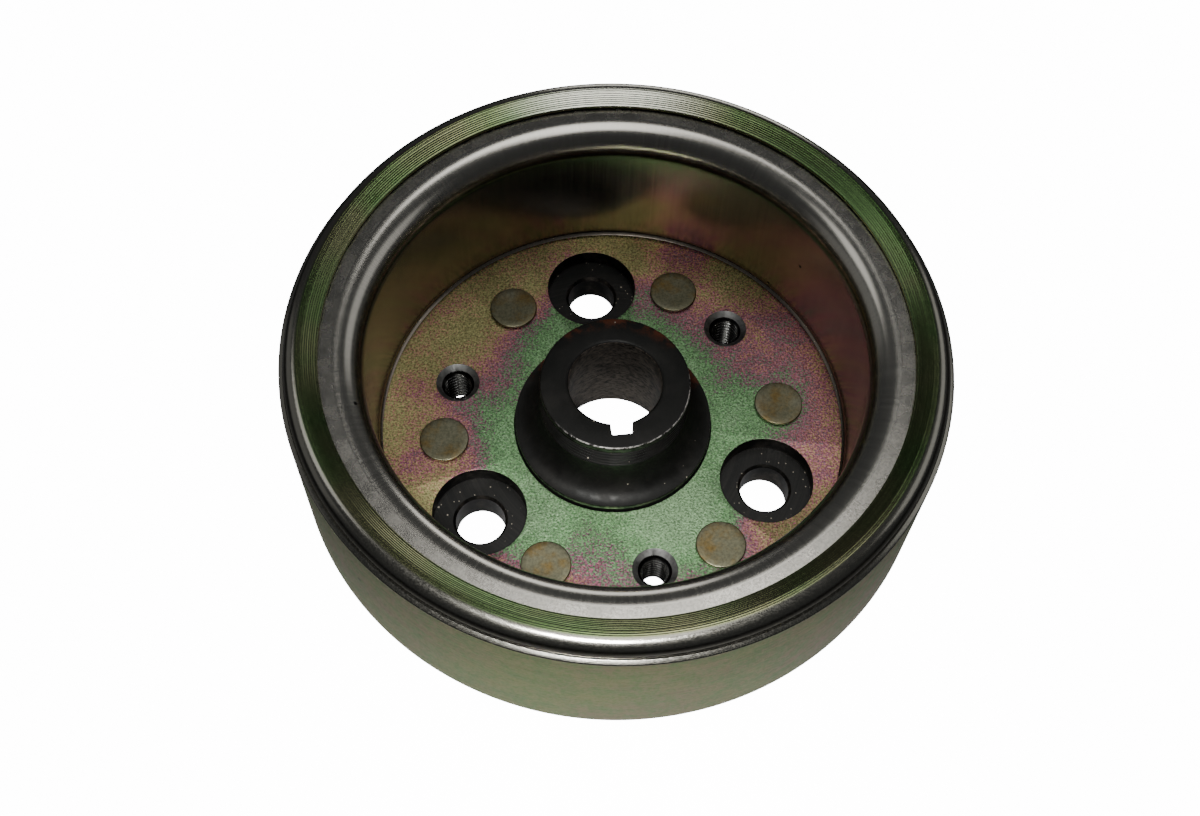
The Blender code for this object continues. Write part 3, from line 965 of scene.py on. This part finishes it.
@dataclass
class Hub:
    """The turned hub: threaded neck, flared boss, tapered bore and flange."""

    plan: Plan
    holes: Holes
    neck_radius: float = 13.45 * MM
    boss_radius: float = 18.1 * MM
    boss_top: float = 11.4 * MM
    flare_height: float = 6.8 * MM
    chamfer: float = 0.35 * MM
    bore_nose: float = 8.3 * MM
    bore_back: float = 10.4 * MM
    bore_chamfer: float = 0.7 * MM
    back_chamfer: float = 0.5 * MM
    thread_pitch: float = 1.0 * MM
    thread_depth: float = 0.5 * MM
    thread_top: float = 1.2 * MM
    thread_length: float = 6.2 * MM
    thread_fade: float = 0.6 * MM
    rows_in_pitch: int = 8
    keyway_width: float = 4.0 * MM
    keyway_reach: float = 10.6 * MM
    keyway_angle: float = -79.2
    keyway_corner: float = 0.35 * MM
    ridge_height: float = 0.9 * MM
    flange_proud: float = 0.5 * MM

    def outline(self) -> list[Point]:
        """The hub's closed outline, with close rows where the thread is cut."""
        plan, cut = self.plan, self.back_chamfer
        nose, back = plan.hub_nose, plan.hub_back
        points = [(self.bore_back + cut, back), (self.bore_back, back + cut)]
        points += [(self.bore_nose, nose - self.bore_chamfer)]
        points += arc((self.bore_nose + self.bore_chamfer, nose - self.bore_chamfer),
                      self.bore_chamfer, 180.0, 90.0, 5)
        points += arc((self.neck_radius - self.chamfer, nose - self.chamfer),
                      self.chamfer, 90.0, 0.0, 4)
        rows = round(self.thread_length / self.thread_pitch * self.rows_in_pitch)
        start = nose - self.thread_top
        points += [(self.neck_radius, start - i * self.thread_pitch / self.rows_in_pitch)
                   for i in range(rows + 1)]
        flare = self.boss_radius - self.neck_radius
        points += arc((self.boss_radius, self.boss_top + self.flare_height), flare,
                      180.0, 270.0, 20, self.flare_height / flare)
        flange = self.holes.flange_top
        reach = plan.flange_radius + self.flange_proud
        ridge = plan.floor + self.ridge_height
        points += [(self.boss_radius + 0.05 * MM, self.boss_top - 0.1 * MM),
                   (self.boss_radius + 0.05 * MM, ridge), (self.boss_radius - 0.1 * MM, ridge),
                   (self.boss_radius - 0.1 * MM, flange),
                   (reach - self.chamfer, flange), (reach, flange - self.chamfer),
                   (reach, back + cut), (reach - cut, back)]
        return points

    def wind_thread(self, bm: BMesh) -> None:
        """Press a helical thread into the neck, fading out at both of its ends."""
        top = self.plan.hub_nose - self.thread_top
        low = top - self.thread_length
        for vert in bm.verts:
            reach = vert.co.xy.length
            past_end = min(top - vert.co.z, vert.co.z - low)
            if abs(reach - self.neck_radius) < SAME_RADIUS and past_end > -1e-6:
                share = max(0.0, min(1.0, past_end / self.thread_fade))
                depth = winding(vert.co, vert.co.z, self.thread_pitch, self.thread_depth)
                vert.co.xy *= 1.0 - depth * share / reach

    def keyway(self) -> Object:
        """Cutter of the keyway, whose floor follows the bore's taper."""
        bm = bmesh.new()
        plan = self.plan
        taper = (self.bore_back - self.bore_nose) / (plan.hub_nose - plan.hub_back)
        block = bmesh.ops.create_cube(bm, size=1.0)["verts"]
        for vert in block:
            height = plan.hub_nose + PAST if vert.co.z > 0.0 else plan.hub_back - PAST
            reach = self.keyway_reach + taper * (plan.hub_nose - height)
            vert.co = Vector((reach if vert.co.x > 0.0 else 0.0,
                              self.keyway_width * vert.co.y, height))
        upright = [edge for edge in bm.edges
                   if min(v.co.x for v in edge.verts) > 5.0 * MM
                   and abs(edge.verts[0].co.y - edge.verts[1].co.y) < 1e-6]
        bmesh.ops.bevel(bm, geom=upright, offset=self.keyway_corner, affect="EDGES",
                        segments=3, profile=0.5, material=-1)
        turn = Matrix.Rotation(math.radians(self.keyway_angle), 3, "Z")
        bmesh.ops.rotate(bm, cent=(0.0, 0.0, 0.0), matrix=turn, verts=bm.verts)
        return to_object(bm, "keyway_cutter")

    def build(self) -> Object:
        """Turn the hub, wind its thread and cut its keyway and holes."""
        bm = bmesh.new()
        turn_outline(bm, self.outline(), Quality.THREADED.value)
        self.wind_thread(bm)
        hub = to_object(bm, "hub_body")
        for cutter in (self.keyway(), self.holes.screws(), self.holes.tapped(),
                       self.holes.shanks()):
            carve(hub, cutter)
        smooth(hub, 32.0)
        black = BlackOxide()
        dress(hub, [black.turned(self.plan.hub_nose, self.neck_radius),
                    black.bore(self.plan.hub_back),
                    black.ledge(), black.hole("screw_hole_black"),
                    self.holes.tapped_finish("tapped_thread")], self.choose)
        return hub

    def choose(self, centre: Vector, normal: Vector) -> int:
        """The hub's finish for a face at a centre and with a normal."""
        reach = centre.xy.length
        inward = normal.x * centre.x + normal.y * centre.y < 0.0
        if reach < self.keyway_reach + 1.0 * MM and abs(normal.z) < 0.5 and inward:
            return HubFace.BORE
        if reach < self.boss_radius or reach > self.plan.flange_radius - 1.0 * MM:
            return HubFace.OUTSIDE
        if abs(normal.z) > 0.9:
            return HubFace.LEDGE
        return HubFace.TAPPED if self.holes.in_tapped(centre) else HubFace.HOLE


@dataclass
class Rivets:
    """The flat-headed rivets that hold the cup to the flange."""

    plan: Plan
    holes: Holes
    edge: float = 0.22 * MM
    dish: float = 0.05 * MM
    gap_under_head: float = 0.06 * MM

    def outline(self, place: RivetPlace) -> list[Point]:
        """One rivet's closed outline on its own axis."""
        shank = self.holes.shank_radius - CLEARANCE
        head_low = self.plan.floor + CLEARANCE
        points = [(0.0, place.low), (place.tail_radius(), place.low),
                  (shank, self.holes.tail_depth), (shank, head_low)]
        points += [(place.radius - self.edge, head_low - self.gap_under_head)]
        points += arc((place.radius - self.edge, head_low + self.edge), self.edge,
                      -60.0, 0.0, 3)
        points += arc((place.radius - self.edge, place.high - self.edge), self.edge,
                      0.0, 90.0, 4)
        points += [(place.radius * 0.72, place.high - self.dish * 0.4),
                   (0.0, place.high - self.dish)]
        return points

    def build(self) -> list[Object]:
        """Turn every rivet on its own axis, and give all of them one finish."""
        made = []
        plated = RivetPlate().head()
        for number, place in enumerate(self.plan.rivets, start=1):
            bm = bmesh.new()
            turn_outline(bm, self.outline(place), Quality.SMALL.value, place.foot())
            rivet = to_object(bm, f"rivet_body_{number}")
            smooth(rivet, 40.0)
            dress(rivet, [plated], lambda centre, normal: 0)
            made.append(rivet)
        return made


@dataclass
class Liner:
    """The drawn stainless liner over the magnets."""

    plan: Plan
    radius: float = 43.3 * MM
    bend: float = 5.0 * MM
    thickness: float = 1.0 * MM
    foot_height: float = 1.3 * MM
    foot_reach: float = 0.7 * MM
    foot_round: float = 0.25 * MM
    edge: float = 0.2 * MM
    heights: int = 24
    wave: float = 0.03 * MM

    def outline(self) -> list[Point]:
        """The liner's closed outline: flange, bend, wall and rolled foot."""
        plan = self.plan
        centre = (self.radius + self.bend, plan.liner_top - self.bend)
        low, turn = plan.liner_foot, self.foot_round
        points = [(plan.liner_edge, plan.liner_top - self.edge),
                  (plan.liner_edge - self.edge, plan.liner_top),
                  (centre[0] + 2.0 * MM, plan.liner_top)]
        points += arc(centre, self.bend, 90.0, 180.0, 24)
        bottom = low + self.foot_height
        points += [(self.radius, centre[1] + (bottom - centre[1]) * i / self.heights)
                   for i in range(1, self.heights)]
        points += arc((self.radius - self.foot_reach * 1.6, bottom), self.foot_reach * 1.6,
                      0.0, -40.0, 6)
        points += arc((self.radius - self.foot_reach + turn, low + turn), turn,
                      180.0, 270.0, 4)
        points += [(self.radius + self.thickness, low)]
        points += arc(centre, self.bend - self.thickness, 180.0, 90.0, 12)
        points += [(plan.liner_edge, plan.liner_top - self.thickness)]
        return points

    def build(self) -> Object:
        """Turn the liner and give its drawn wall a faint unevenness."""
        bm = bmesh.new()
        turn_outline(bm, self.outline(), Quality.LARGE.value)
        low, high = self.plan.liner_foot + self.foot_height, self.plan.liner_top - self.bend
        for vert in bm.verts:
            reach = vert.co.xy.length
            if abs(reach - self.radius) < SAME_RADIUS:
                turn = math.atan2(vert.co.y, vert.co.x)
                rise = (vert.co.z - low) / (high - low)
                sway = math.sin(3.0 * turn + 1.1) + 0.6 * math.sin(7.0 * turn + 4.0 * rise)
                vert.co.xy *= 1.0 + self.wave * sway * math.sin(math.pi * rise) / reach
        liner = to_object(bm, "liner")
        smooth(liner, 40.0)
        steel = DrawnStainless()
        dress(liner, [steel.flange(), steel.drawn()],
              self.choose)
        return liner

    def choose(self, centre: Vector, normal: Vector) -> int:
        """The liner's finish for a face at a centre and with a normal."""
        flat = centre.xy.length > self.radius + self.bend
        return LinerFace.FLANGE if flat and normal.z > 0.99 else LinerFace.DRAWN


# ---- studio

@dataclass
class Studio:
    """Camera, floor, light and background."""

    eye: Vector = field(default_factory=lambda: Vector((0.0, -134.45, 254.09)) * MM)
    target: Vector = field(default_factory=lambda: Vector((-2.45, -2.797, 20.0)) * MM)
    roll: float = 2.512
    lens: float = 44.866
    sensor: float = 36.0
    floor_size: float = 6.0
    # where the floor's painted pool of light starts and ends, and the floor's paleness at those
    # two places
    painted_pool_reach: Point = (0.08, 0.20)
    paper: Point = (0.22, 0.01)
    paper_glow: float = 15.0
    dim_tint: Colour = (0.9, 0.95, 1.0)
    dim: float = 0.055
    white: float = 16.0

    def camera(self) -> None:
        """Set up the viewing camera."""
        data = bpy.data.cameras.new("camera")
        data.lens = self.lens
        data.sensor_width = self.sensor
        data.clip_start, data.clip_end = 0.01, 50.0
        camera = bpy.data.objects.new("camera", data)
        look = (self.target - self.eye).to_track_quat("-Z", "Y")
        turn = Matrix.Rotation(math.radians(self.roll), 4, "Z")
        camera.matrix_world = Matrix.Translation(self.eye) @ look.to_matrix().to_4x4() @ turn
        bpy.context.scene.collection.objects.link(camera)
        bpy.context.scene.camera = camera

    @staticmethod
    def for_camera(tree: bpy.types.NodeTree, unseen: Socket, seen: Socket,
                   output: Socket) -> None:
        """Send one shader to the camera and another to all other rays.

        Args:
            tree: the node tree.
            unseen: the shader that lights and reflections meet.
            seen: the shader that the camera meets.
            output: the input that takes the choice.
        """
        choice = tree.nodes.new("ShaderNodeMixShader")
        path = tree.nodes.new("ShaderNodeLightPath")
        tree.links.new(path.outputs["Is Camera Ray"], choice.inputs[0])
        tree.links.new(unseen, choice.inputs[1])
        tree.links.new(seen, choice.inputs[2])
        tree.links.new(choice.outputs[0], output)

    def floor(self) -> None:
        """A plain pale floor, nearly white to the camera, with a painted pool of light: for
        other rays its paleness fades outwards.
        """
        bm = bmesh.new()
        bmesh.ops.create_grid(bm, x_segments=1, y_segments=1, size=self.floor_size / 2)
        floor = to_object(bm, "floor")
        g = Graph("studio_paper")
        # painted pool of light: the floor's paleness fades from the middle outwards
        painted_pool_paleness = g.add("MapRange", Value=g.radius(), From_Min=self.painted_pool_reach[0],
                     From_Max=self.painted_pool_reach[1], To_Min=self.paper[0], To_Max=self.paper[1])
        paper = g.finish(painted_pool_paleness.outputs[0], 0.9, 0.0)
        matt = g.shader.outputs[0]
        glow = g.add("Emission", Strength=self.paper_glow)
        both = g.add("AddShader")
        g.links.new(matt, both.inputs[0])
        g.links.new(glow.outputs[0], both.inputs[1])
        self.for_camera(paper.node_tree, matt, both.outputs[0],
                        g.nodes["Material Output"].inputs["Surface"])
        floor.data.materials.append(paper)

    def world(self) -> None:
        """White background to the camera, dim surroundings for the reflections."""
        world = bpy.data.worlds.new("studio")
        world.use_nodes = True
        tree = world.node_tree
        dim = tree.nodes["Background"]
        white = tree.nodes.new("ShaderNodeBackground")
        for node, colour, strength in ((dim, self.dim_tint, self.dim),
                                       (white, (1.0, 1.0, 1.0), self.white)):
            node.inputs["Color"].default_value = (*colour, 1.0)
            node.inputs["Strength"].default_value = strength
        self.for_camera(tree, dim.outputs[0], white.outputs[0],
                        tree.nodes["World Output"].inputs["Surface"])
        bpy.context.scene.world = world

    @staticmethod
    def area(name: str, place: Vector, toward: Vector, size: Point, power: float,
             spread: float = 180.0) -> None:
        """Hang a rectangular soft light.

        Args:
            name: the light's name.
            place: where it hangs.
            toward: the point that it is aimed at.
            size: its width and height.
            power: its power in watts.
            spread: the angle in degrees that its light is kept within.
        """
        data = bpy.data.lights.new(name, "AREA")
        data.shape = "RECTANGLE"
        data.size, data.size_y = size
        data.energy = power
        data.spread = math.radians(spread)
        light = bpy.data.objects.new(name, data)
        light.matrix_world = (Matrix.Translation(place)
                              @ (toward - place).to_track_quat("-Z", "Y").to_matrix().to_4x4())
        bpy.context.scene.collection.objects.link(light)

    def lights(self) -> None:
        """A narrow lamp at the camera, a panel overhead, one high on the left, three around."""
        centre = Vector((0.0, 0.0, 0.03))
        near_rim = Vector((0.0, -0.058, 0.035))
        self.area("near_lamp", self.eye + Vector((-0.01, -0.01, 0.03)), near_rim,
                  (0.06, 0.035), 0.07, 30.0)
        self.area("overhead", Vector((0.04, 0.09, 0.60)), Vector((0.04, 0.09, 0.0)),
                  (0.16, 0.34), 0.55)
        self.area("left_high", Vector((-0.42, 0.15, 0.58)), centre, (0.25, 0.25), 0.25)
        self.area("left_panel", Vector((-0.70, 0.10, 0.25)), centre, (0.60, 0.40), 0.13)
        self.area("back_panel", Vector((0.08, 0.80, 0.15)), centre, (0.40, 0.28), 0.80)
        self.area("right_panel", Vector((0.72, 0.30, 0.50)), centre, (0.80, 0.40), 0.6)


# ---- assembly

def show(piece: Object, node: str) -> None:
    """Ride a piece on the flywheel's body in place of a node.

    Args:
        piece: the finished piece.
        node: the name of the node that it stands for.
    """
    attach(piece, "root")
    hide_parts(node)
    LOG.info("%s stands for %s: %d faces", piece.name, node, len(piece.data.polygons))


def dress_hidden(nodes: dict[str, Object]) -> None:
    """Give the magnets and their cage their finishes.

    Args:
        nodes: the frame's nodes by name.
    """
    hidden = HiddenParts()
    ferrite = hidden.magnet()
    nylon = hidden.cage()
    for name, node in nodes.items():
        if name.startswith("magnet_") and name != "magnet_liner":
            node.data.materials.clear()
            node.data.materials.append(nylon if name == "magnet_cage" else ferrite)


def main() -> None:
    """Build the flywheel's pieces on the frame, then the studio round them."""
    logging.basicConfig(level=logging.INFO, format="%(name)s: %(message)s")
    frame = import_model()
    plan = Plan.read(frame["record"])
    holes = Holes(plan)
    show(Cup(plan, holes).build(), "rotor_shell")
    show(Hub(plan, holes).build(), "hub")
    for number, rivet in enumerate(Rivets(plan, holes).build(), start=1):
        show(rivet, f"rivet_{number}")
    show(Liner(plan).build(), "magnet_liner")
    dress_hidden(frame["nodes"])
    studio = Studio()
    studio.camera()
    studio.floor()
    studio.world()
    studio.lights()


if __name__ == "__main__":
    main()
